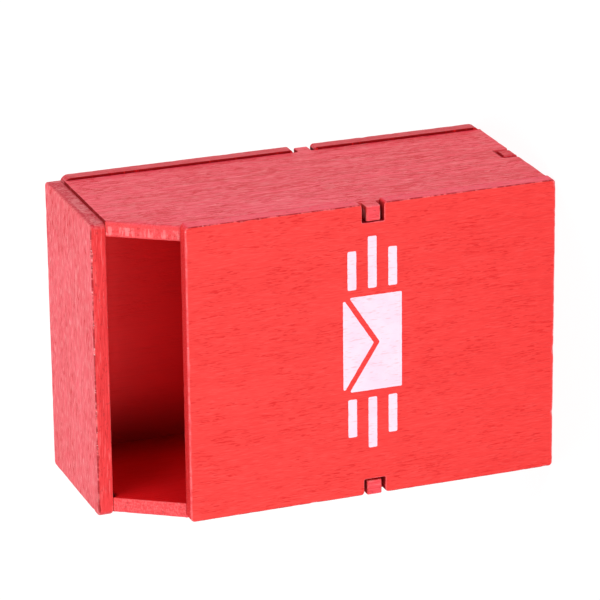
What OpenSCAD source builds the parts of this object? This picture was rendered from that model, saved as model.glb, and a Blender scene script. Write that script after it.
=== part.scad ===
// Small wooden post box: six plywood boards, glued edge to edge and located by tabs in notches.
// It stands on its base: +Z is up, the front faces -Y, and the origin is at the
// middle of the footprint, on the surface it stands on.

/* [Boards] */
// Thickness of the plywood that every board is cut from
board_t = 4; // [3:0.1:5]
// Radius of the corners of each board's outline
corner_r = 1.2; // [0.4:0.1:2]
// Width of the sanded bevel along each board's arrises
arris = 0.5; // [0.2:0.1:0.8]

/* [Box] */
// Width of the box across the outer faces of its side boards
box_w = 79.4; // [60:0.2:100]
// Depth of the box from its front face to its back face
box_d = 53.6; // [48:0.2:70]
// Height of the side and back boards, from the ground to the roof
wall_h = 117.6; // [100:0.2:150]
// Width of the front and back boards
panel_w = 80; // [60:0.2:100]
// Width of the roof board
roof_w = 79.6; // [60:0.2:100]

/* [Letter mouth] */
// Height of the mouth, from the front board's top edge to the roof
mouth_h = 16.1; // [12:0.1:24]
// Distance from the front face back to the roof's front edge
roof_setback = 14.6; // [10:0.2:20]

/* [Tabs and notches] */
// Width of the tab at the middle of each upright edge of a side board
side_tab_w = 4.3; // [3:0.1:8]
// Width of the tab at the middle of each end of the base
base_tab_w = 5.2; // [3:0.1:8]
// Gap between a tab and each end of its notch
notch_gap = 0.8; // [0.2:0.1:1.2]
// Gap between a tab and the floor of its notch
notch_floor_gap = 0.2; // [0.1:0.1:0.5]
// Distance that a side board's tab stops short of the face it comes out at
tab_recess = 0.3; // [0:0.1:0.8]

/* [Glued position] */
// Sideways shift of the front board from the middle of the box
front_shift = 0.5; // [-1:0.1:1]
// Sideways shift of the back board from the middle of the box
back_shift = 0.3; // [-1:0.1:1]
// Sideways shift of the roof from the middle of the box
roof_shift = -0.7; // [-1:0.1:1]
// Distance of the base's tabs behind the middle of the side boards
base_tab_shift = 0.6; // [-2:0.1:2]

/* [Colour] */
// Colour of the paint on every outside face
paint = "#e8323c";
// Colour of the paint on the side boards and the roof, which catch less light
paint_shade = "#d92c3a";

/* [Hidden] */
$fn = 32;
// More than enough to run a cut clear through a board
clear = 1;

front_y = -box_d / 2;
back_y = box_d / 2;
front_h = wall_h - mouth_h;
side_d = box_d - 2 * board_t;
inner_w = box_w - 2 * board_t;
// Each tab stands in the middle of the front board's height
tab_z = front_h / 2;
tab_depth = board_t - tab_recess;
notch_depth = board_t + notch_floor_gap;

// Unit vector along a to b, and the same turned a quarter turn clockwise
function along(a, b) = (b - a) / norm(b - a);
function outward(v) = [v[1], -v[0]];

// Centre of the arc at corner i of a convex anticlockwise outline
function arc_centre(pts, i, r) =
    let (n = len(pts),
         before = outward(along(pts[(i + n - 1) % n], pts[i])),
         after = outward(along(pts[i], pts[(i + 1) % n])))
    pts[i] - r * (before + after) / (1 + before * after);

// A convex outline, drawn anticlockwise, with an arc at each corner
module rounded_outline(pts, r) {
    n = len(pts);
    normals = [for (i = [0:n - 1]) outward(along(pts[i], pts[(i + 1) % n]))];
    centres = [for (i = [0:n - 1]) arc_centre(pts, i, r)];
    polygon([for (i = [0:n - 1]) each [
        centres[i] + r * normals[(i + n - 1) % n],
        centres[i] + r * normals[i]]]);
    for (c = centres) translate(c) circle(r = r);
}

// A cutter of length len along X that bevels the arris on the X axis of a solid at y > 0
module bevel_cutter(len) {
    reach = 2 * arris;
    translate([-clear, -reach, -reach])
        cube([len + 2 * clear, reach + arris / sqrt(2), 2 * reach]);
}

// A flat board of thickness t that stands on z = 0, with round corners and every arris bevelled
module board(pts, t) {
    n = len(pts);
    difference() {
        linear_extrude(height = t) rounded_outline(pts, corner_r);
        for (i = [0:n - 1]) {
            a = pts[i];
            d = pts[(i + 1) % n] - a;
            translate(a) rotate([0, 0, atan2(d[1], d[0])]) {
                rotate([45, 0, 0]) bevel_cutter(norm(d));
                translate([0, 0, t]) rotate([-45, 0, 0]) bevel_cutter(norm(d));
            }
        }
    }
}

// Corners of a rectangle w wide and h high, standing on y = 0 and centred on x = shift
function rectangle(w, h, shift) =
    [[shift - w / 2, 0], [shift + w / 2, 0], [shift + w / 2, h], [shift - w / 2, h]];

// The two notches, at the level of the side boards' tabs, that run through a front or back board
module upright_notches() {
    notch_w = side_tab_w + 2 * notch_gap;
    inner = inner_w / 2 - notch_floor_gap;
    for (side = [-1, 1])
        translate([side * (inner + box_w / 4) - box_w / 4, tab_z - notch_w / 2, -clear])
            cube([box_w / 2, notch_w, board_t + 2 * clear]);
}

// A front or back board, lying on z = 0 with its foot along the X axis
module notched_panel(height, shift) {
    difference() {
        board(rectangle(panel_w, height, shift), board_t);
        upright_notches();
    }
}

// Shape of a side board, seen from +X: Y across and Z up, cut back at the letter mouth
function side_outline() = [
    [-side_d / 2, 0],
    [side_d / 2, 0],
    [side_d / 2, wall_h],
    [front_y + roof_setback, wall_h],
    [-side_d / 2, front_h]];

// A side board whose outer face is at x = outer_x, with the wood running towards inner_dir
module side_board(outer_x, inner_dir) {
    low_x = min(outer_x, outer_x + inner_dir * board_t);
    notch_w = base_tab_w + 2 * notch_gap;
    difference() {
        union() {
            translate([low_x, 0, 0])
                rotate([90, 0, 90])
                board(side_outline(), board_t);
            for (y = [-side_d / 2 - tab_depth, side_d / 2 - clear])
                translate([low_x, y, tab_z - side_tab_w / 2])
                    cube([board_t, tab_depth + clear, side_tab_w]);
        }
        translate([low_x - clear, base_tab_shift - notch_w / 2, -clear])
            cube([board_t + 2 * clear, notch_w, notch_depth + clear]);
    }
}

module front_panel() {
    color(paint)
        translate([0, front_y + board_t, 0])
        rotate([90, 0, 0])
        notched_panel(front_h, front_shift);
}

module back_panel() {
    color(paint)
        translate([0, back_y, 0])
        rotate([90, 0, 0])
        notched_panel(wall_h, back_shift);
}

module left_side() {
    color(paint_shade) side_board(-box_w / 2, 1);
}

module right_side() {
    color(paint_shade) side_board(box_w / 2, -1);
}

// The floor of the box, between the four walls, with a tab out through each side board
module base_panel() {
    color(paint_shade) {
        translate([0, -side_d / 2, 0]) board(rectangle(inner_w, side_d, 0), board_t);
        for (side = [-1, 1])
            translate([side * (inner_w / 2 + board_t / 2) - board_t / 2 - (side > 0 ? clear : 0),
                       base_tab_shift - base_tab_w / 2, 0])
                cube([board_t + clear, base_tab_w, board_t]);
    }
}

module roof_panel() {
    color(paint_shade)
        translate([0, front_y + roof_setback, wall_h])
        board(rectangle(roof_w, box_d - roof_setback, roof_shift), board_t);
}

front_panel();
back_panel();
left_side();
right_side();
base_panel();
roof_panel();
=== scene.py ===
"""Looks of a small red wooden post box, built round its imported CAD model.

Each plywood board is one dense mesh: a rounded outline, arrises worn by sanding and handling, and faces
with a faint relief. A board is laid out in millimetres, and place() turns its points into metres.
"""
import math
import random
from dataclasses import dataclass

import bpy
import numpy as np
from mathutils import Matrix, Vector, geometry, noise


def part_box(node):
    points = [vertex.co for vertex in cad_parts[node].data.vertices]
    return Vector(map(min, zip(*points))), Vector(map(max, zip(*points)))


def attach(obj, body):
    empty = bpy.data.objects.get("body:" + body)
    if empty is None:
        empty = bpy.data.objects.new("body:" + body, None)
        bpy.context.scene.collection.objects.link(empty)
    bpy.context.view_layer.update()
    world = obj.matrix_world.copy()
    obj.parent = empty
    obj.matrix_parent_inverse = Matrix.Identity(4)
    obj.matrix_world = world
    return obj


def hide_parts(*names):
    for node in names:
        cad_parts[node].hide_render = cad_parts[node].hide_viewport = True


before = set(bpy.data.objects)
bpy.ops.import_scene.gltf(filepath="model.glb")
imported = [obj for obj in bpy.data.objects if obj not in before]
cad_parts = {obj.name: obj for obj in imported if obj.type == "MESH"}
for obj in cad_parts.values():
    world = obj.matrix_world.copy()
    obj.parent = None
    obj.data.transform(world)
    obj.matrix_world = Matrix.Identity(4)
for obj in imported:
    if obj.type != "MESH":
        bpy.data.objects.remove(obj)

MM = 0.001
X, Z = 0, 2             # the axes that a board's grain may run along
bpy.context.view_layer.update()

# ---------------------------------------------------------------- sizes, in millimetres
OUTLINE_STEP = 0.5      # spacing of points along a straight edge
ARC_STEP = 0.25         # spacing of points round a corner
FACE_PITCH = 1.1        # spacing of points across a face
ROOMY = 9.0             # more room than any arris takes up

ROOF_CORNER_R = 1.4
FRONT_CORNER_R = 1.15
BACK_CORNER_R = 2.2
MOUTH_R = 0.9           # rounding at the mouth of a notch
NOTCH_FLOOR_R = 0.3     # and at its floor
TAB_TIP_R = 0.5         # corners of a side board's tab
TAB_ROOT_R = 0.2        # and where it leaves the board
FOOT_R = 0.3            # lower corners of the side boards, and corners of the base board
BACK_HEAD_R = 0.4       # corner of a side board under the back of the roof
SLANT_R = 0.6           # both ends of the slanted edge
BASE_TAB_BACK_R = 1.2   # rear corner of a base tab
BASE_TAB_FRONT_R = 0.5  # and its front corner

TAB_SPANS = {"left": (-2.2, 1.95), "right": (-2.05, 1.85)}      # foot and head of the side boards' tabs,
NOTCH_SPANS = {"left": (-3.05, 2.8), "right": (-2.9, 3.15)}     # and of their notches, from TAB_Z
TAB_RECESS = 0.3        # how far the tabs stop short of the face that they come out at
NOTCH_FLOOR_GAP = 0.2   # gap between a tab and its notch's floor
LEFT_FLOOR_GAP = 0.55   # the same at the left notch of the front board
NOTCH_GAP = 0.8         # gap at each end of the notches for the base board's tabs
BASE_TAB_W = 5.2
BASE_TAB_SHIFT = 0.6    # distance of the base board's tabs behind the middle of the box
TAB_SWELL = 0.6         # paint fills this much of the gap behind each of them
TAB_SLIT = 0.15         # and the gap in front of each is this much wider

KNOCK_EVERY = 11        # length of outline for each small knock
ARRIS_SHARE = 0.8       # share of the room in a tight corner that an arris may take
RING_SHARE = 0.92       # and that the ring beyond it may
OUTER_RING = 0.25       # distance from the outer arris to the first ring on the face
INNER_RING = 0.8        # and from the inner arris
EDGE_ROUGH = 0.07       # how deep an edge's sanding marks are
FACE_ROUGH = 0.02       # and the face's faint waves
SKIN = 0.05             # room left for the print's ink in front of the front board

# An arris is the width that is rounded off, how pale rubbing has left it, how dark dirt and painted shade
# leave it, and how dark dirt and painted shade leave the edge beyond it.
BRIDGED = (0.06, 0.0, 0.0, 0.0)      # two boards meet flush and the paint bridges the joint
SOFT = (0.55, 0.7, 0.0, 0.0)         # sanded well, and rubbed by handling
HEAD = (0.55, 0.45, 0.1, 0.0)        # the same, less rubbed
RIM = (0.50, 0.25, 0.4, 0.0)         # sanded well, with a little dirt
BLUNT = (0.50, 0.25, 0.2, 0.0)       # and with less of it
CRISP = (0.34, 0.5, 0.74, 0.0)       # hardly sanded, with dashes of dirt
EAVES = (0.50, 0.7, 0.72, 0.0)       # the roof's front edge, rubbed and dirty
EAVES_END = (0.90, 0.1, 0.0, 0.0)    # sanded most
LIP = (0.30, 0.3, 0.0, 0.0)          # broken with a few strokes of sandpaper
TAB = (0.36, 0.5, 0.0, 0.0)
ROUND = (0.50, 0.15, 0.0, 0.0)       # softened by thick paint
WEDGE = (1.20, 0.0, 0.3, 0.6)        # slopes down into the paint that fills a gap, with painted shade on it and on the edge beyond
SEAM = (0.12, 0.0, 0.97, 0.0)        # a dark hairline where two boards meet
JOINT = (0.12, 0.0, 0.97, 0.9)       # the same, with a dark edge behind it
SHADED_CREASE = (0.24, 0.0, 0.92, 0.0)      # painted shade: a dark line in the crease where one board stands proud of another
SHADED_STEP = (0.50, 0.0, 0.92, 0.0)        # the same painted shade, on a rounder arris
SHADED_SLIT = (0.30, 0.4, 0.0, 0.88)        # rubbed at the face, with painted shade inside the gap
SHADED_GAP = (0.40, 0.0, 0.4, 1.0)        # painted shade on the sides of a gap and in a pit

ARRIS_RINGS = 5
EDGE_RINGS = 4
BLACK_JOINT_AND_SHADE = 0.9        # from this much darkening on, an arris is dark on the face's side too: dark joints, and painted shade in creases


# ---------------------------------------------------------------- outlines
def turned(v):
    """v turned a quarter turn clockwise: the outward side of an anticlockwise outline."""
    return np.array([v[1], -v[0]])


def unit(v):
    return v / np.linalg.norm(v)


def turn_between(before, after):
    """The angle from one direction to another, positive where it turns anticlockwise."""
    return math.atan2(before[0] * after[1] - before[1] * after[0], before @ after)


def own_arrises(corner):
    return np.array([*corner[3], *corner[4]])


def trace(corners):
    """Samples a closed anticlockwise outline.

    A corner is (u, v, radius, outer arris, inner arris), and its arrises belong to the edge that leaves it.
    Each row returned is a point, its outward normal, the largest arris that fits, and the two arrises.
    """
    n = len(corners)
    at = [np.array(c[:2], float) for c in corners]
    ways = [unit(at[(i + 1) % n] - at[i]) for i in range(n)]
    rows = []
    for i in range(n):
        before, after, radius = ways[i - 1], ways[i], corners[i][2]
        turn = turn_between(before, after)
        side = 1 if turn > 0 else -1
        reach = radius * math.tan(abs(turn) / 2)
        centre = at[i] - before * reach - turned(before) * radius * side
        steps = max(3, math.ceil(radius * abs(turn) / ARC_STEP))
        start = math.atan2(*turned(before)[::-1])
        for s in range(steps + 1):
            share = s / steps
            out = np.array([math.cos(start + turn * share), math.sin(start + turn * share)])
            arrises = own_arrises(corners[i - 1]) * (1 - share) + own_arrises(corners[i]) * share
            room = radius if side > 0 else ROOMY
            rows.append([*(centre + out * radius * side), *out, room, *arrises])
        ahead = (i + 1) % n
        next_turn = turn_between(after, ways[ahead])
        first = at[i] + after * reach
        last = at[ahead] - after * corners[ahead][2] * math.tan(abs(next_turn) / 2)
        length = float((last - first) @ after)
        steps = max(1, round(length / OUTLINE_STEP))
        for s in range(1, steps):
            point = first + (last - first) * s / steps
            rows.append([*point, *turned(after), ROOMY, *own_arrises(corners[i])])
    return np.array(rows)


def along_outline(points):
    """Distance round the outline to each point, and the whole length."""
    steps = np.linalg.norm(np.roll(points, -1, 0) - points, axis=1)
    return np.concatenate([[0], np.cumsum(steps)[:-1]]), steps.sum()


def room_inside(rows):
    """How far each point can move inwards, which grows away from tight corners."""
    dist, total = along_outline(rows[:, :2])
    fits = np.full(len(rows), ROOMY)
    for k in np.flatnonzero(rows[:, 4] < ROOMY):
        gap = np.abs(dist - dist[k])
        gap = np.minimum(gap, total - gap)
        fits = np.minimum(fits, rows[k, 4] + gap * 0.7)
    return fits


def wobble(points, size, seed):
    """Smooth noise from -1 to 1 at each 3-D point, with features of that size."""
    shift = Vector((seed * 17.3, seed * 5.1, seed * 9.7))
    return np.array([noise.noise(Vector(p) / size + shift) for p in points])


def periodic_blur(values, reach):
    kernel = np.ones(2 * reach + 1) / (2 * reach + 1)
    wrapped = np.concatenate([values[-reach:], values, values[:reach]])
    return np.convolve(wrapped, kernel, "valid")


# ---------------------------------------------------------------- boards
class Board:
    """Where a board lies: the frame place of its outline's origin, and its in-plane axes."""

    def __init__(self, name, origin, u_axis, v_axis, grain_axis, thickness, corners, seed):
        self.name, self.origin, self.thickness = name, Vector(origin), thickness
        self.u, self.v = Vector(u_axis), Vector(v_axis)
        self.w = self.u.cross(self.v)
        self.grain = np.array([abs(self.u[grain_axis]), abs(self.v[grain_axis])])
        self.corners, self.seed = corners, seed

    def place(self, uvw):
        """Points given along the board's own axes, in metres in the frame."""
        axes = np.array([self.u, self.v, self.w])
        return (np.array(self.origin) + np.asarray(uvw) @ axes) * MM


def worn(arris, points, dist, total, seed, room):
    """An arris width at each point: uneven from sanding, with a few small knocks."""
    level = np.c_[points, np.full(len(points), seed * 3.0)]
    uneven = 1 + 0.30 * wobble(level, 7.0, seed) + 0.25 * wobble(level, 1.6, seed + 1)
    out = arris * uneven
    dice = random.Random(seed)
    for _ in range(int(total / KNOCK_EVERY)):
        middle, width, depth = dice.uniform(0, total), dice.uniform(0.25, 0.7), dice.uniform(0.1, 0.5)
        gap = np.abs(dist - middle)
        gap = np.minimum(gap, total - gap)
        out = out + depth * np.exp(-(gap / width) ** 2) * (arris > 0.3)
    return np.minimum(periodic_blur(out, 1), room * ARRIS_SHARE)


def face_points(ring):
    """Points on a staggered grid inside a closed ring, clear of it."""
    lo, hi = ring.min(0), ring.max(0)
    rows = []
    for j, v in enumerate(np.arange(lo[1], hi[1], FACE_PITCH * 0.87)):
        for u in np.arange(lo[0] + (j % 2) * FACE_PITCH / 2, hi[0], FACE_PITCH):
            rows.append((u, v))
    grid = np.array(rows)
    a, b = ring, np.roll(ring, -1, 0)
    inside = np.zeros(len(grid), bool)
    for (x0, y0), (x1, y1) in zip(a, b):
        if y0 != y1:
            cross = ((y0 > grid[:, 1]) != (y1 > grid[:, 1]))
            inside ^= cross & (grid[:, 0] < (x1 - x0) * (grid[:, 1] - y0) / (y1 - y0) + x0)
    grid = grid[inside]
    near = np.full(len(grid), 1e9)
    for p in a:
        near = np.minimum(near, ((grid - p) ** 2).sum(1))
    return grid[near > (FACE_PITCH * 0.6) ** 2]


def fill(ring):
    """Triangles inside a closed ring. Returns the extra points, and triangles that index both in turn."""
    extra = face_points(ring)
    points = [Vector(p) for p in np.vstack([ring, extra])]
    n = len(ring)
    loop = [(i, (i + 1) % n) for i in range(n)]
    _, _, faces, from_verts, _, _ = geometry.delaunay_2d_cdt(points, loop, [], 1, 1e-7)
    return extra, [[from_verts[i][0] for i in f] for f in faces]


def loft(rings):
    """A closed surface through rings of as many points each, from the outer face's ring to the inner's.

    Returns its points and faces, and where the points that fill each face start and stop.
    """
    m = len(rings[0])
    verts, faces, filled = np.vstack(rings), [], []
    for k in range(len(rings) - 1):
        for s in range(m):
            e = (s + 1) % m
            faces.append((k * m + s, (k + 1) * m + s, (k + 1) * m + e, k * m + e))
    for k, inner in ((0, False), (len(rings) - 1, True)):
        extra, tris = fill(rings[k][:, :2])
        base = len(verts)
        verts = np.vstack([verts, np.c_[extra, np.full(len(extra), rings[k][0, 2])]])
        filled.append(slice(base, len(verts)))
        spot = np.concatenate([np.arange(m) + k * m, np.arange(len(extra)) + base])
        for tri in tris:
            ids = [int(spot[i]) for i in tri]
            a, b, c = (verts[i][:2] for i in ids)
            clockwise = (b[0] - a[0]) * (c[1] - a[1]) - (b[1] - a[1]) * (c[0] - a[0]) < 0
            faces.append(ids[::-1] if clockwise != inner else ids)
    return verts, faces, filled


def add_piece(name, points, faces):
    mesh = bpy.data.meshes.new(name)
    mesh.from_pydata([tuple(p) for p in points], [], faces)
    piece = bpy.data.objects.new(name, mesh)
    bpy.context.scene.collection.objects.link(piece)
    return piece


def build_board(board):
    """One board as a closed mesh, with what its paint needs to know at each point.

    rub says how pale an arris is, and a second attribute how dark it is from dirt, dark joints and painted
    shade.
    edge is 1 on the board's edge, and end is 1 where that edge cuts across the grain. run is the distance
    round the outline, and ply is 0 to 1 through the thickness.
    """
    rows = trace(board.corners)
    points, normals, room = rows[:, :2], rows[:, 2:4], room_inside(rows)
    dist, total = along_outline(points)
    outer_width, outer_rub, outer_dirt_and_shade, outer_gap_dirt_and_shade = rows[:, 5:9].T
    inner_width, inner_rub, inner_dirt_and_shade, inner_gap_dirt_and_shade = rows[:, 9:13].T
    outer = worn(outer_width, points, dist, total, board.seed, room)
    inner = worn(inner_width, points, dist, total, board.seed + 50, room)
    gap_dirt_and_shade = np.maximum(outer_gap_dirt_and_shade, inner_gap_dirt_and_shade)
    t, none = board.thickness, np.zeros(len(points))
    rings, rub_at, dirt_and_shade_at, edge_at = [], [], [], []

    def ring(inset, w, rub, dirt_and_shade, edge):
        rings.append(np.c_[points - normals * np.reshape(inset, (-1, 1)), np.broadcast_to(w, len(points))])
        rub_at.append(rub)
        dirt_and_shade_at.append(dirt_and_shade)
        edge_at.append(edge)

    def arris_ring(step, width, way, start, rub, dirt_and_shade):
        # rubbing shows most on the face's side of the arris
        a = math.pi / 2 * step / ARRIS_RINGS
        # dirt, dark joints, and painted shade in creases and gaps darken the arris
        full = (dirt_and_shade > BLACK_JOINT_AND_SHADE) & (step < 3)
        arris_dirt_and_shade = np.maximum(dirt_and_shade * np.where(full, 1, min(1, 3 * math.sin(2 * a))), gap_dirt_and_shade * step / ARRIS_RINGS)
        ring(width * (1 - math.sin(a)), start + way * width * (1 - math.cos(a)),
             rub * 1.3 * math.sin(2 * a) * math.cos(a), arris_dirt_and_shade, step / ARRIS_RINGS)

    ring(np.minimum(outer + OUTER_RING, room * RING_SHARE), t, none, none, 0.0)
    for k in range(ARRIS_RINGS + 1):
        arris_ring(k, outer, -1, t, outer_rub, outer_dirt_and_shade)
    # the edge between the arrises carries dark joints, and painted shade inside gaps
    for k in range(1, EDGE_RINGS):
        share = k / EDGE_RINGS
        ring(0, (t - outer) * (1 - share) + inner * share, none, gap_dirt_and_shade, 1.0)
    for k in range(ARRIS_RINGS, -1, -1):
        arris_ring(k, inner, 1, 0, inner_rub, inner_dirt_and_shade)
    black = inner_dirt_and_shade * (inner_dirt_and_shade > BLACK_JOINT_AND_SHADE)
    ring(np.minimum(inner + INNER_RING, room * RING_SHARE), 0, none, black, 0.0)

    for k in range(1, len(rings) - 1):
        rough = 0.5 + 0.5 * wobble(rings[k], 1.3, board.seed + 7)
        rings[k][:, :2] -= normals * (EDGE_ROUGH * edge_at[k] * rough)[:, None]
    verts, faces, filled = loft(rings)
    for part, way in zip(filled, (-1, 1)):
        waves = 0.5 + 0.5 * wobble(verts[part], 9.0, board.seed + 3)
        verts[part, 2] += way * FACE_ROUGH * waves

    flat = np.zeros(len(verts) - len(rings) * len(points))
    edge = np.repeat(edge_at, len(points))
    end = edge * np.tile(np.abs(normals @ board.grain), len(rings))
    values = {
        "rub": np.concatenate([*rub_at, flat]),
        "dirt_and_shade": np.concatenate([*dirt_and_shade_at, flat]),
        "edge": np.concatenate([edge, flat]),
        "end": np.concatenate([end, flat]),
        "run": np.concatenate([np.tile(dist, len(rings)), flat]),
        "ply": verts[:, 2] / t}
    piece = add_piece(board.name, board.place(verts), faces)
    for name, value in values.items():
        layer = piece.data.attributes.new(name, "FLOAT", "POINT")
        layer.data.foreach_set("value", np.asarray(value, np.float32))
    piece.data.shade_smooth()
    piece.data.validate()
    return piece


# ---------------------------------------------------------------- the six boards
def box_mm(node):
    lo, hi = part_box(node)
    return Vector(lo) / MM, Vector(hi) / MM


FRONT_LO, FRONT_HI = box_mm("front_panel")
BACK_LO, BACK_HI = box_mm("back_panel")
RIGHT_LO, RIGHT_HI = box_mm("right_side")
_, LEFT_HI = box_mm("left_side")
_, BASE_HI = box_mm("base_panel")
ROOF_LO, ROOF_HI = box_mm("roof_panel")

BOARD_T = FRONT_HI.y - FRONT_LO.y
TAB_Z = FRONT_HI.z / 2


def notched(left, right, top, floors, way, radius, foot, sides, head, notch):
    """Corners of a front or back board, seen from outside: u across, v up. Each long edge has a notch.

    floors is where the notches end. way is 1 where the box's left is on the left, and -1 where it is on the
    right. foot, sides, head and notch are the outer and inner arrises of the bottom edge, the long edges,
    the top edge and the notches.
    """
    spans = [[TAB_Z + z for z in NOTCH_SPANS[side]] for side in ("left", "right")]
    (left_low, left_high), (right_low, right_high) = spans[::way]
    left_floor, right_floor = floors
    return [
        (left, 0, radius, *foot), (right, 0, radius, *sides),
        (right, right_low, MOUTH_R, *notch), (right_floor, right_low, NOTCH_FLOOR_R, *notch),
        (right_floor, right_high, NOTCH_FLOOR_R, *notch), (right, right_high, MOUTH_R, *sides),
        (right, top, radius, *head), (left, top, radius, *sides),
        (left, left_high, MOUTH_R, *notch), (left_floor, left_high, NOTCH_FLOOR_R, *notch),
        (left_floor, left_low, NOTCH_FLOOR_R, *notch), (left, left_low, MOUTH_R, *sides)]


def make_front():
    floors = LEFT_HI.x + LEFT_FLOOR_GAP, RIGHT_LO.x - NOTCH_FLOOR_GAP
    corners = notched(FRONT_LO.x, FRONT_HI.x, FRONT_HI.z, floors, 1, FRONT_CORNER_R,
                      foot=(SOFT, BRIDGED), sides=(CRISP, BRIDGED), head=(HEAD, SHADED_STEP), notch=(SHADED_SLIT, SHADED_SLIT))
    return Board("front_board", (0, FRONT_HI.y, 0), (1, 0, 0), (0, 0, 1), Z, BOARD_T - SKIN, corners, 11)


def make_back():
    floors = NOTCH_FLOOR_GAP - RIGHT_LO.x, -LEFT_HI.x - NOTCH_FLOOR_GAP
    corners = notched(-BACK_HI.x, -BACK_LO.x, BACK_HI.z, floors, -1, BACK_CORNER_R,
                      foot=(RIM, BRIDGED), sides=(RIM, SHADED_CREASE), head=(SOFT, SEAM), notch=(SHADED_GAP, SHADED_GAP))
    return Board("back_board", (0, BACK_LO.y, 0), (-1, 0, 0), (0, 0, 1), Z, BOARD_T, corners, 23)


def side_corners(front, back, sign):
    """Corners of a side board, seen from outside. sign is 1 where the front is to the left, or else -1."""
    tab_lo, tab_hi = [TAB_Z + z for z in TAB_SPANS["right" if sign > 0 else "left"]]
    tab_front, tab_back = front - BOARD_T + TAB_RECESS, back + BOARD_T - TAB_RECESS
    notch_lo, notch_hi = (BASE_TAB_SHIFT + s * (BASE_TAB_W / 2 + NOTCH_GAP) for s in (-1, 1))
    notch_top = BOARD_T + NOTCH_FLOOR_GAP
    foot = [
        (front, 0, FOOT_R, RIM, SOFT), (notch_lo, 0, MOUTH_R, LIP, LIP),
        (notch_lo, notch_top, NOTCH_FLOOR_R, SHADED_STEP, LIP), (notch_hi, notch_top, NOTCH_FLOOR_R, LIP, LIP),
        (notch_hi, 0, MOUTH_R, RIM, SOFT), (back, 0, FOOT_R, SEAM, BRIDGED)]
    back_tab = [
        (back, tab_lo, TAB_ROOT_R, SHADED_SLIT, SHADED_SLIT), (tab_back, tab_lo, TAB_TIP_R, TAB, TAB),
        (tab_back, tab_hi, TAB_TIP_R, SHADED_SLIT, SHADED_SLIT), (back, tab_hi, TAB_ROOT_R, SEAM, BRIDGED)]
    head = [
        (back, RIGHT_HI.z, BACK_HEAD_R, JOINT, SEAM), (ROOF_LO.y, RIGHT_HI.z, SLANT_R, ROUND, LIP),
        (front, FRONT_HI.z, SLANT_R, BRIDGED, BRIDGED)]
    front_tab = [
        (front, tab_hi, TAB_ROOT_R, SHADED_SLIT, SHADED_SLIT), (tab_front, tab_hi, TAB_TIP_R, TAB, TAB),
        (tab_front, tab_lo, TAB_TIP_R, SHADED_SLIT, SHADED_SLIT), (front, tab_lo, TAB_ROOT_R, BRIDGED, BRIDGED)]
    way = foot + back_tab + head + front_tab
    if sign > 0:
        return way
    # seen from the other side, the outline is mirrored and walked the other way round
    n = len(way)
    return [(-way[-i % n][0], way[-i % n][1], way[-i % n][2], *way[(-i - 1) % n][3:]) for i in range(n)]


def make_right():
    corners = side_corners(FRONT_HI.y, BACK_LO.y, 1)
    return Board("right_board", (RIGHT_LO.x, 0, 0), (0, 1, 0), (0, 0, 1), Z, BOARD_T, corners, 31)


def make_left():
    corners = side_corners(FRONT_HI.y, BACK_LO.y, -1)
    return Board("left_board", (LEFT_HI.x, 0, 0), (0, -1, 0), (0, 0, 1), Z, BOARD_T, corners, 43)


def make_base():
    """The base board, seen from below, so that v runs towards the front."""
    inner, tip = RIGHT_LO.x, BASE_HI.x
    back, front = -BACK_LO.y, -FRONT_HI.y
    tab_back = -BASE_TAB_SHIFT - BASE_TAB_W / 2 - TAB_SWELL
    tab_front = -BASE_TAB_SHIFT + BASE_TAB_W / 2 - TAB_SLIT
    joint, tip_edge, swollen, slit = (SEAM, BRIDGED), (ROUND, SHADED_STEP), (ROUND, WEDGE), (SHADED_GAP, SHADED_GAP)
    corners = [
        (-inner, back, FOOT_R, *joint), (inner, back, FOOT_R, *joint),
        (inner, tab_back, TAB_ROOT_R, *swollen), (tip, tab_back, BASE_TAB_BACK_R, *tip_edge),
        (tip, tab_front, BASE_TAB_FRONT_R, *slit), (inner, tab_front, TAB_ROOT_R, *joint),
        (inner, front, FOOT_R, *joint), (-inner, front, FOOT_R, *joint),
        (-inner, tab_front, TAB_ROOT_R, *slit), (-tip, tab_front, BASE_TAB_FRONT_R, *tip_edge),
        (-tip, tab_back, BASE_TAB_BACK_R, *swollen), (-inner, tab_back, TAB_ROOT_R, *joint)]
    return Board("base_board", (0, 0, BOARD_T), (1, 0, 0), (0, -1, 0), X, BOARD_T, corners, 59)


def make_roof():
    left, right, front, back = ROOF_LO.x, ROOF_HI.x, ROOF_LO.y, ROOF_HI.y
    corners = [
        (left, front, ROOF_CORNER_R, EAVES, LIP), (right, front, ROOF_CORNER_R, BLUNT, SEAM),
        (right, back, ROOF_CORNER_R, SOFT, SEAM), (left, back, ROOF_CORNER_R, BLUNT, EAVES_END)]
    return Board("roof_board", (0, 0, ROOF_LO.z), (1, 0, 0), (0, 1, 0), X, BOARD_T, corners, 67)


# ---------------------------------------------------------------- the print on the front board
PRINT_MID = (2.8, 51.2)     # X and Z of the middle of the envelope
ENVELOPE_W, ENVELOPE_H = 26.0, 16.2
FLAP_DROP = 8.4             # how far the flap's point hangs below the envelope's top
FOLD_GAP = 1.7              # bare band between the flap and the rest, measured up and down
BAR_H, BAR_PITCH, BAR_GAP = 2.4, 5.6, 2.0
BAR_LENGTHS = (10.5, 14.0, 10.5)
INK_CLEAR = 0.008           # the ink stays this far inside the front panel's box
INK_SUNK = 0.02             # and goes this deep into the board
INK_CORNER_R = 0.35
INK_RAGGED = 0.06           # how uneven its edges are


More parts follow.
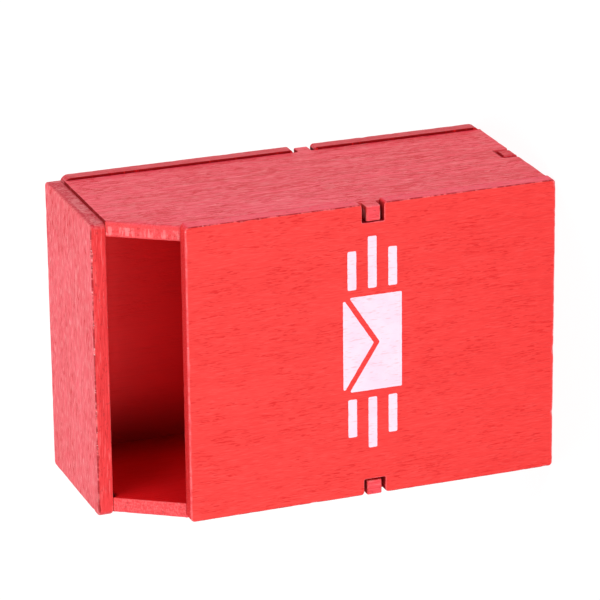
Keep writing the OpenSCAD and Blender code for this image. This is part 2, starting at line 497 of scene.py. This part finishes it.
def print_shapes():
    """Outlines of a plain envelope and the three bars on each side of it, in X and Z."""
    x, z = PRINT_MID
    left, right = x - ENVELOPE_W / 2, x + ENVELOPE_W / 2
    low, top = z - ENVELOPE_H / 2, z + ENVELOPE_H / 2
    flap = [(left, top), (x, top - FLAP_DROP), (right, top)]
    rest = [
        (left, low), (right, low), (right, top - FOLD_GAP), (x, top - FLAP_DROP - FOLD_GAP),
        (left, top - FOLD_GAP)]
    shapes = [flap, rest]
    for row, length in zip((-1, 0, 1), BAR_LENGTHS):
        foot, head = z + row * BAR_PITCH - BAR_H / 2, z + row * BAR_PITCH + BAR_H / 2
        for start in (left - BAR_GAP - length, right + BAR_GAP):
            stop = start + length
            shapes.append([(start, foot), (stop, foot), (stop, head), (start, head)])
    return shapes


def make_print():
    """White ink as one thin slab for each shape, sunk a little into the front board, with uneven edges."""
    thick = SKIN + INK_SUNK - INK_CLEAR
    points, faces = [], []
    for shape in print_shapes():
        rows = trace([(*corner, INK_CORNER_R, BRIDGED, BRIDGED) for corner in shape])
        ragged = INK_RAGGED * wobble(np.c_[rows[:, :2], np.zeros(len(rows))], 0.6, 5)
        outline = rows[:, :2] + rows[:, 2:4] * ragged[:, None]
        verts, tris, _ = loft([np.c_[outline, np.full(len(outline), w)] for w in (thick, 0.0)])
        faces += [[i + len(points) for i in face] for face in tris]
        points += [(u * MM, (FRONT_LO.y + INK_CLEAR + thick - w) * MM, v * MM) for u, v, w in verts]
    return add_piece("envelope_print", points, faces)


# ---------------------------------------------------------------- materials
class Nodes:
    """Short names for adding nodes to a material's tree."""

    def __init__(self, name):
        self.material = bpy.data.materials.new(name)
        self.material.use_nodes = True
        self.tree = self.material.node_tree
        self.shader = self.tree.nodes["Principled BSDF"]

    def add(self, kind, settings=(), **inputs):
        node = self.tree.nodes.new(kind)
        for key, value in dict(settings).items():
            setattr(node, key, value)
        for key, value in inputs.items():
            self.put(node, key.replace("_", " "), value)
        return node

    def put(self, node, key, value):
        socket = node.inputs[int(key) if key.isdigit() else key]
        if isinstance(value, bpy.types.NodeSocket):
            self.tree.links.new(value, socket)
        else:
            socket.default_value = value

    def math(self, operation, a, b=0.0, clamp=False):
        node = self.add("ShaderNodeMath", {"operation": operation, "use_clamp": clamp})
        self.put(node, "0", a)
        self.put(node, "1", b)
        return node.outputs[0]

    def ramp(self, value, low, high, to_low=0.0, to_high=1.0):
        """Goes smoothly from to_low to to_high while the value goes from low to high."""
        node = self.add("ShaderNodeMapRange", {"interpolation_type": "SMOOTHSTEP"}, Value=value,
                        From_Min=low, From_Max=high, To_Min=to_low, To_Max=to_high)
        return node.outputs[0]

    def mix(self, share, a, b):
        """The colour that lies that share of the way from a to b."""
        node = self.add("ShaderNodeMix", {"data_type": "RGBA"})
        self.put(node, "0", share)
        self.put(node, "6", a)
        self.put(node, "7", b)
        return node.outputs[2]

    def times(self, a, b):
        return self.math("MULTIPLY", a, b)

    def noise(self, vector, detail, rough=0.5):
        """Noise from 0 to 1, with features about one unit in size."""
        node = self.add("ShaderNodeTexNoise", {}, Vector=vector, Scale=1.0, Detail=detail, Roughness=rough)
        return node.outputs["Fac"]

    def attribute(self, name):
        return self.add("ShaderNodeAttribute", {"attribute_name": name}).outputs["Fac"]

    def vector(self, x, y, z):
        return self.add("ShaderNodeCombineXYZ", {}, X=x, Y=y, Z=z).outputs[0]

    def swayed(self, vector, sway, amount):
        """The same coordinates, pushed to and fro by a noise value, so that straight grain wanders."""
        shift = self.times(self.math("SUBTRACT", sway, 0.5), amount)
        node = self.add("ShaderNodeVectorMath", {"operation": "ADD"})
        self.put(node, "0", vector)
        self.put(node, "1", self.vector(shift, shift, shift))
        return node.outputs[0]

    def bump(self, height):
        """Relief from a height in millimetres."""
        node = self.add("ShaderNodeBump", {}, Height=height, Strength=1.0, Distance=MM)
        self.put(self.shader, "Normal", node.outputs[0])

    def beside(self, spot):
        """Distance in metres from the upright line through a spot given by X and Y."""
        flat = self.add("ShaderNodeMapping", {}, Vector=self.add("ShaderNodeTexCoord").outputs["Object"])
        flat.inputs["Scale"].default_value = (1, 1, 0)
        node = self.add("ShaderNodeVectorMath", {"operation": "DISTANCE"})
        self.put(node, "0", flat.outputs[0])
        self.put(node, "1", (*spot, 0))
        return node.outputs["Value"]

    def height(self):
        """Height above the floor in metres."""
        place = self.add("ShaderNodeTexCoord").outputs["Object"]
        return self.add("ShaderNodeSeparateXYZ", {}, Vector=place).outputs["Z"]

    def stretched(self, size, shift=0.0):
        """Coordinates in which a feature of that size in millimetres, along X, Y and Z, is one unit."""
        place = self.add("ShaderNodeTexCoord").outputs["Object"]
        node = self.add("ShaderNodeMapping", {}, Vector=place)
        node.inputs["Location"].default_value = (shift, shift * 0.7, shift * 1.3)
        node.inputs["Scale"].default_value = [1 / (s * MM) for s in size]
        return node.outputs[0]


def linear(r, g, b):
    """A display colour, with channels from 11 to 255, as linear RGBA."""
    return (*[((c / 255 + 0.055) / 1.055) ** 2.4 for c in (r, g, b)], 1.0)


# colours, as linear RGBA
INNER_RED = (0.87, 0.009, 0.013, 1)
INNER_DEEP = (0.60, 0.003, 0.005, 1)
# painted shade for the inner corner between the left and back boards
INNER_SHADE = (0.20, 0.001, 0.003, 1)
PALE = (0.95, 0.42, 0.42, 1)      # paint rubbed thin over raised wood
CHIP = (0.95, 0.62, 0.60, 1)      # a spot with hardly any paint left
DARK = (0.26, 0.0, 0.002, 1)      # dirt and painted shade along an arris, and a pit in the paint
DEEP = (0.08, 0.001, 0.004, 1)    # the depth of a joint
INK = (0.80, 0.63, 0.735, 1)
INK_THIN = (0.78, 0.58, 0.70, 1)
RED_BELOW = linear(250, 74, 74)   # the paint where it shows through the ink

# painted shade: the inner faces darken towards the corner between the left and back boards
SHADED_CORNER = (LEFT_HI.x * MM, BACK_LO.y * MM)


def tinted(colour, r, g, b):
    """The colour, with each channel multiplied."""
    return (colour[0] * r, colour[1] * g, colour[2] * b, 1)


def grain_size(axis, along, across):
    """Feature sizes of wood whose grain runs along that axis."""
    return [along if i == axis else across for i in range(3)]


@dataclass
class Paint:
    """How one board is painted."""
    face: tuple         # colour of the outer face,
    long_edge: tuple    # of the edges along the grain,
    cut_edge: tuple     # and of the edges across it
    pitch: float        # size of the streaks, in mm
    fleck: float        # strength of the streaks and pores,
    fuzz: float         # of the raised fibres,
    figure: float       # of the growth rings,
    stroke: float       # of the pale strokes in the middle plies of a cut edge,
    grit: float         # and of its fine pale and dark grains


def painted_wood(name, axis, paint, seed):
    """Thin satin red paint over a plywood board whose grain runs along axis 0, 1 or 2."""
    n = Nodes(name)
    sway = n.noise(n.stretched(grain_size(axis, 34, 15), seed + 21), 2)

    def layer(along, across, shift, detail, rough=0.5, wander=0):
        """Noise with features of that size in mm along and across the grain, which stray by wander of it."""
        place = n.stretched(grain_size(axis, along, across), seed + shift)
        return n.noise(n.swayed(place, sway, wander) if wander else place, detail, rough)

    broad = layer(60, 9, 0, 3, 0.55)
    ring = layer(45, 2.6, 3, 2, wander=7)
    streak = layer(25 * paint.pitch, paint.pitch, 5, 2, 0.6, wander=0.9)
    pores = layer(2.2, 0.22, 7, 1, wander=0.9)
    fibres = layer(3, 0.2, 9, 1, wander=0.9)
    cluster = layer(12, 4, 2, 2)
    pore = n.times(n.ramp(pores, 0.57, 0.67), n.ramp(cluster, 0.40, 0.6, 0.2, 1.0))
    fibre = n.ramp(fibres, 0.50, 0.70)

    deep = tinted(paint.face, 0.76, 0.06, 0.10)
    # painted shade: the paint turns a purer, darker red towards the foot, where less sheen shows
    thick = tinted(paint.face, 1.0, 0.3, 0.4)
    colour = n.mix(n.ramp(n.height(), 0.01, 0.075, 0.22 * paint.fleck, 0.0), paint.face, thick)
    colour = n.mix(n.ramp(broad, 0.35, 0.65, 0.0, 0.18 * paint.fleck), colour, deep)
    colour = n.mix(n.ramp(ring, 0.55, 0.63, 0.0, paint.figure), colour, deep)
    colour = n.mix(n.ramp(streak, 0.45, 0.70, 0.0, min(0.45 * paint.fleck, 0.9)), colour, deep)
    colour = n.mix(n.times(fibre, 0.3 * paint.fuzz), colour, PALE)
    colour = n.mix(n.math("MULTIPLY", pore, paint.fleck, clamp=True), colour, deep)
    inner = n.mix(n.ramp(streak, 0.45, 0.70, 0.0, 0.2), INNER_RED, INNER_DEEP)
    # painted shade: the inner faces go darker near the corner between the left and back boards
    inner = n.mix(n.ramp(n.beside(SHADED_CORNER), 0.001, 0.017, 0.62, 0.0), inner, INNER_SHADE)
    colour = n.mix(n.ramp(n.attribute("ply"), 0.4, 0.6), inner, colour)
    n.put(n.shader, "Base Color", with_edges(n, colour, paint, seed))

    gloss = n.math("ADD", n.ramp(streak, 0.3, 0.7, 0.38, 0.48), n.times(pore, 0.25))
    gloss = n.math("ADD", gloss, n.times(n.attribute("end"), 0.25))
    gloss = n.math("ADD", gloss, n.ramp(n.attribute("dirt_and_shade"), 0.2, 0.8, 0.0, 0.6), clamp=True)
    n.put(n.shader, "Roughness", gloss)
    n.shader.inputs["IOR"].default_value = 1.3

    height = n.times(pore, -0.03 * paint.fleck)
    height = n.math("ADD", height, n.times(streak, 0.01 * paint.fleck))
    height = n.math("ADD", height, n.times(fibre, 0.012 * paint.fuzz))
    n.bump(height)
    return n.material


def with_edges(n, colour, paint, seed):
    """The colour of a board's faces, with that of its edges and arrises added."""
    run, ply, edge, end = (n.attribute(name) for name in ("run", "ply", "edge", "end"))
    rub, dirt_and_shade = n.attribute("rub"), n.attribute("dirt_and_shade")

    def layer(along, across, shift, detail, rough=0.5):
        """Noise round the edge, with so many features to a mm along it and to the thickness across it."""
        return n.noise(n.vector(n.times(run, along), n.times(ply, across), seed + shift), detail, rough)

    grain = layer(0.22, 11, 14, 2)
    long_deep = tinted(paint.long_edge, 0.72, 0.15, 0.2)
    along = n.mix(n.ramp(grain, 0.45, 0.66, 0.0, 0.45), paint.long_edge, long_deep)
    along = n.mix(n.ramp(grain, 0.42, 0.30, 0.0, 0.14), along, PALE)
    colour = n.mix(edge, colour, n.mix(end, along, paint.cut_edge))

    core = n.times(n.times(n.ramp(ply, 0.08, 0.14), n.ramp(ply, 0.72, 0.66)), end)
    strokes = n.ramp(layer(1.3, 0.9, 0, 3, 0.6), 0.44, 0.58, 0.0, paint.stroke)
    patches = n.ramp(layer(0.35, 1, 4, 2), 0.35, 0.55, 0.35, 1.0)
    colour = n.mix(n.times(core, n.times(strokes, patches)), colour, PALE)
    grains = layer(2.8, 7, 10, 1)
    colour = n.mix(n.times(end, n.ramp(grains, 0.42, 0.62, 0.0, paint.grit)), colour, PALE)
    colour = n.mix(n.times(end, n.ramp(grains, 0.40, 0.30, 0.0, paint.grit)), colour, DARK)
    specks = n.ramp(layer(0.9, 5, 8, 2), 0.62, 0.68, 0.0, 0.3)
    colour = n.mix(n.times(edge, specks), colour, DARK)

    dashes = n.noise(n.vector(n.times(run, 0.6), 0.5, seed + 6), 3, 0.6)
    colour = n.mix(n.times(rub, n.ramp(dashes, 0.35, 0.62, 0.15, 0.55)), colour, PALE)
    # dashes of dirt, and painted shade in creases and gaps, along the arrises
    dashed_dirt_and_shade = n.ramp(n.math("SUBTRACT", dashes, n.times(dirt_and_shade, 0.6)), 0.22, 0.02)
    colour = n.mix(n.times(dirt_and_shade, dashed_dirt_and_shade), colour, DARK)
    colour = n.mix(n.ramp(dirt_and_shade, 0.93, 0.99), colour, DEEP)
    return n.mix(n.times(rub, n.ramp(layer(1.1, 4, 12, 1), 0.66, 0.72)), colour, CHIP)


def white_ink(name, axis, seed):
    """Screen-printed white ink, thin enough for the wood's pores to show pink and a few pinholes red."""
    n = Nodes(name)
    pores = n.noise(n.stretched(grain_size(axis, 2.4, 0.27), seed), 1)
    cloud = n.noise(n.stretched((5, 5, 5), seed), 3, 0.6)
    holes = n.noise(n.stretched((0.55, 0.55, 0.55), seed + 4), 1)
    colour = n.mix(n.ramp(cloud, 0.3, 0.7), INK, INK_THIN)
    colour = n.mix(n.ramp(pores, 0.60, 0.76, 0.0, 0.35), colour, RED_BELOW)
    colour = n.mix(n.ramp(holes, 0.775, 0.80, 0.0, 0.9), colour, RED_BELOW)
    n.put(n.shader, "Base Color", colour)
    n.put(n.shader, "Roughness", n.ramp(cloud, 0.3, 0.7, 0.5, 0.62))
    n.bump(n.ramp(pores, 0.5, 0.7, 0.0, -0.03))
    return n.material


# ---------------------------------------------------------------- the scene round the object
CAMERA_AZIMUTH, CAMERA_ELEVATION, CAMERA_ROLL = 21.344, 19.176, -97.947
CAMERA_AIM = Vector((5.90, 2.09, 60.22)) * MM
CAMERA_DISTANCE = 992.4 * MM
CAMERA_LENS = 226.6

# name, azimuth and elevation in degrees, and watts
LIGHTS = [
    ("front_low", -20, 5, 10.2), ("front_high", -20, 40, 7.8), ("right_high", 70, 40, 7.4),
    ("back_left", -150, 40, 4.1), ("back_right", 150, 40, 4.7), ("back_top", 180, 60, 4.2)]
LIGHT_AIM = Vector((0, 0, 60)) * MM
LIGHT_DISTANCE, LIGHT_SIZE = 1400 * MM, 800 * MM
SKY = 0.25
FLOOR_HALF = 9000 * MM
FLOOR_GREY = 0.16
FLOOR_GLOW = 0.87       # a floor that shines a little stays white in the object's shadow


def add_camera():
    data = bpy.data.cameras.new("camera")
    data.lens, data.sensor_width = CAMERA_LENS, 36
    data.clip_start, data.clip_end = 0.05, 20
    camera = bpy.data.objects.new("camera", data)
    aim = Matrix.Rotation(math.radians(CAMERA_AZIMUTH), 4, "Z")
    aim = aim @ Matrix.Rotation(math.radians(90 - CAMERA_ELEVATION), 4, "X")
    aim = aim @ Matrix.Rotation(math.radians(CAMERA_ROLL), 4, "Z")
    camera.matrix_world = Matrix.Translation(CAMERA_AIM) @ aim @ Matrix.Translation((0, 0, CAMERA_DISTANCE))
    bpy.context.scene.collection.objects.link(camera)
    bpy.context.scene.camera = camera


def add_light(name, azimuth, elevation, power):
    """A square soft light that faces the box. Azimuth 0 is in front, and 90 to the right."""
    data = bpy.data.lights.new(name, "AREA")
    data.shape, data.size, data.energy = "SQUARE", LIGHT_SIZE, power
    light = bpy.data.objects.new(name, data)
    a, e = math.radians(azimuth), math.radians(elevation)
    way = Vector((math.sin(a) * math.cos(e), -math.cos(a) * math.cos(e), math.sin(e)))
    light.location = LIGHT_AIM + way * LIGHT_DISTANCE
    light.rotation_euler = way.to_track_quat("Z", "Y").to_euler()
    light.visible_camera = False
    bpy.context.scene.collection.objects.link(light)


def add_floor():
    mesh = bpy.data.meshes.new("floor")
    h = FLOOR_HALF
    mesh.from_pydata([(-h, -h, 0), (h, -h, 0), (h, h, 0), (-h, h, 0)], [], [(0, 1, 2, 3)])
    floor = bpy.data.objects.new("floor", mesh)
    n = Nodes("pale_floor")
    n.shader.inputs["Base Color"].default_value = (FLOOR_GREY, FLOOR_GREY, FLOOR_GREY, 1)
    n.shader.inputs["Emission Color"].default_value = (1, 1, 1, 1)
    n.shader.inputs["Emission Strength"].default_value = FLOOR_GLOW
    n.shader.inputs["Roughness"].default_value = 0.9
    n.shader.inputs["Specular IOR Level"].default_value = 0.1
    mesh.materials.append(n.material)
    bpy.context.scene.collection.objects.link(floor)


def add_world():
    world = bpy.data.worlds.new("studio")
    world.use_nodes = True
    world.node_tree.nodes["Background"].inputs["Color"].default_value = (1, 1, 1, 1)
    world.node_tree.nodes["Background"].inputs["Strength"].default_value = SKY
    bpy.context.scene.world = world
    bpy.context.scene.view_settings.view_transform = "Standard"


# ---------------------------------------------------------------- paint of each board, as linear RGBA
FRONT_RED = (0.775, 0.038, 0.034, 1)
# painted sheen: one red paint, with the side and roof copies pinker and bluer than the front's, standing in
# for part of their grazing reflection
SIDE_SHEEN_RED = (0.87, 0.050, 0.096, 1)
RIGHT_SHEEN_RED = (0.865, 0.046, 0.090, 1)
ROOF_SHEEN_RED = (0.86, 0.072, 0.106, 1)
LIP_RED = (0.66, 0.024, 0.042, 1)
TAB_RED = (0.80, 0.060, 0.080, 1)
EAVES_RED = (0.74, 0.032, 0.036, 1)
# painted shade: the front board's cut edges, seen at its head, are a darker, purer red than its face, for
# how light falls there
HEAD_SHADED_RED = (0.74, 0.008, 0.010, 1)
SLANT_RED = (0.80, 0.050, 0.050, 1)
END_RED = (0.60, 0.026, 0.048, 1)

# maker, CAD node, material slot, grain axis and paint
BOARDS = [
    (make_front, "front_panel", "red_paint_front", Z, Paint(
        FRONT_RED, SIDE_SHEEN_RED, HEAD_SHADED_RED, pitch=0.28, fleck=0.65, fuzz=0.12, figure=0.08, stroke=0, grit=0.1)),
    (make_back, "back_panel", "red_paint_back", Z, Paint(
        SIDE_SHEEN_RED, LIP_RED, END_RED, pitch=0.36, fleck=1.0, fuzz=0.9, figure=0.3, stroke=0.35, grit=0.1)),
    (make_left, "left_side", "red_paint_side", Z, Paint(
        SIDE_SHEEN_RED, TAB_RED, SLANT_RED, pitch=0.36, fleck=1.3, fuzz=1.1, figure=0.3, stroke=0, grit=0.24)),
    (make_right, "right_side", "red_paint_side", Z, Paint(
        RIGHT_SHEEN_RED, TAB_RED, SLANT_RED, pitch=0.44, fleck=1.7, fuzz=1.1, figure=0.35, stroke=0.65, grit=0.1)),
    (make_base, "base_panel", "red_paint_base", X, Paint(
        SIDE_SHEEN_RED, LIP_RED, LIP_RED, pitch=0.36, fleck=1.0, fuzz=1.0, figure=0.15, stroke=0.2, grit=0.1)),
    (make_roof, "roof_panel", "red_paint_roof", X, Paint(
        ROOF_SHEEN_RED, EAVES_RED, END_RED, pitch=0.30, fleck=1.6, fuzz=2.1, figure=0.15, stroke=0.3, grit=0.2))]
PAINT_SEEDS = [3.0 + 2.7 * i for i in range(len(BOARDS))]

# ---------------------------------------------------------------- the whole scene
add_camera()
add_world()
add_floor()
for light in LIGHTS:
    add_light(*light)
for (make, node, slot, axis, paint), paint_seed in zip(BOARDS, PAINT_SEEDS):
    piece = build_board(make())
    piece.data.materials.append(painted_wood("paint_" + node, axis, paint, paint_seed))
    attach(piece, "root")
    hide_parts(node)

ink = make_print()
ink.data.materials.append(white_ink("white_ink", Z, 10.0))
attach(ink, "root")
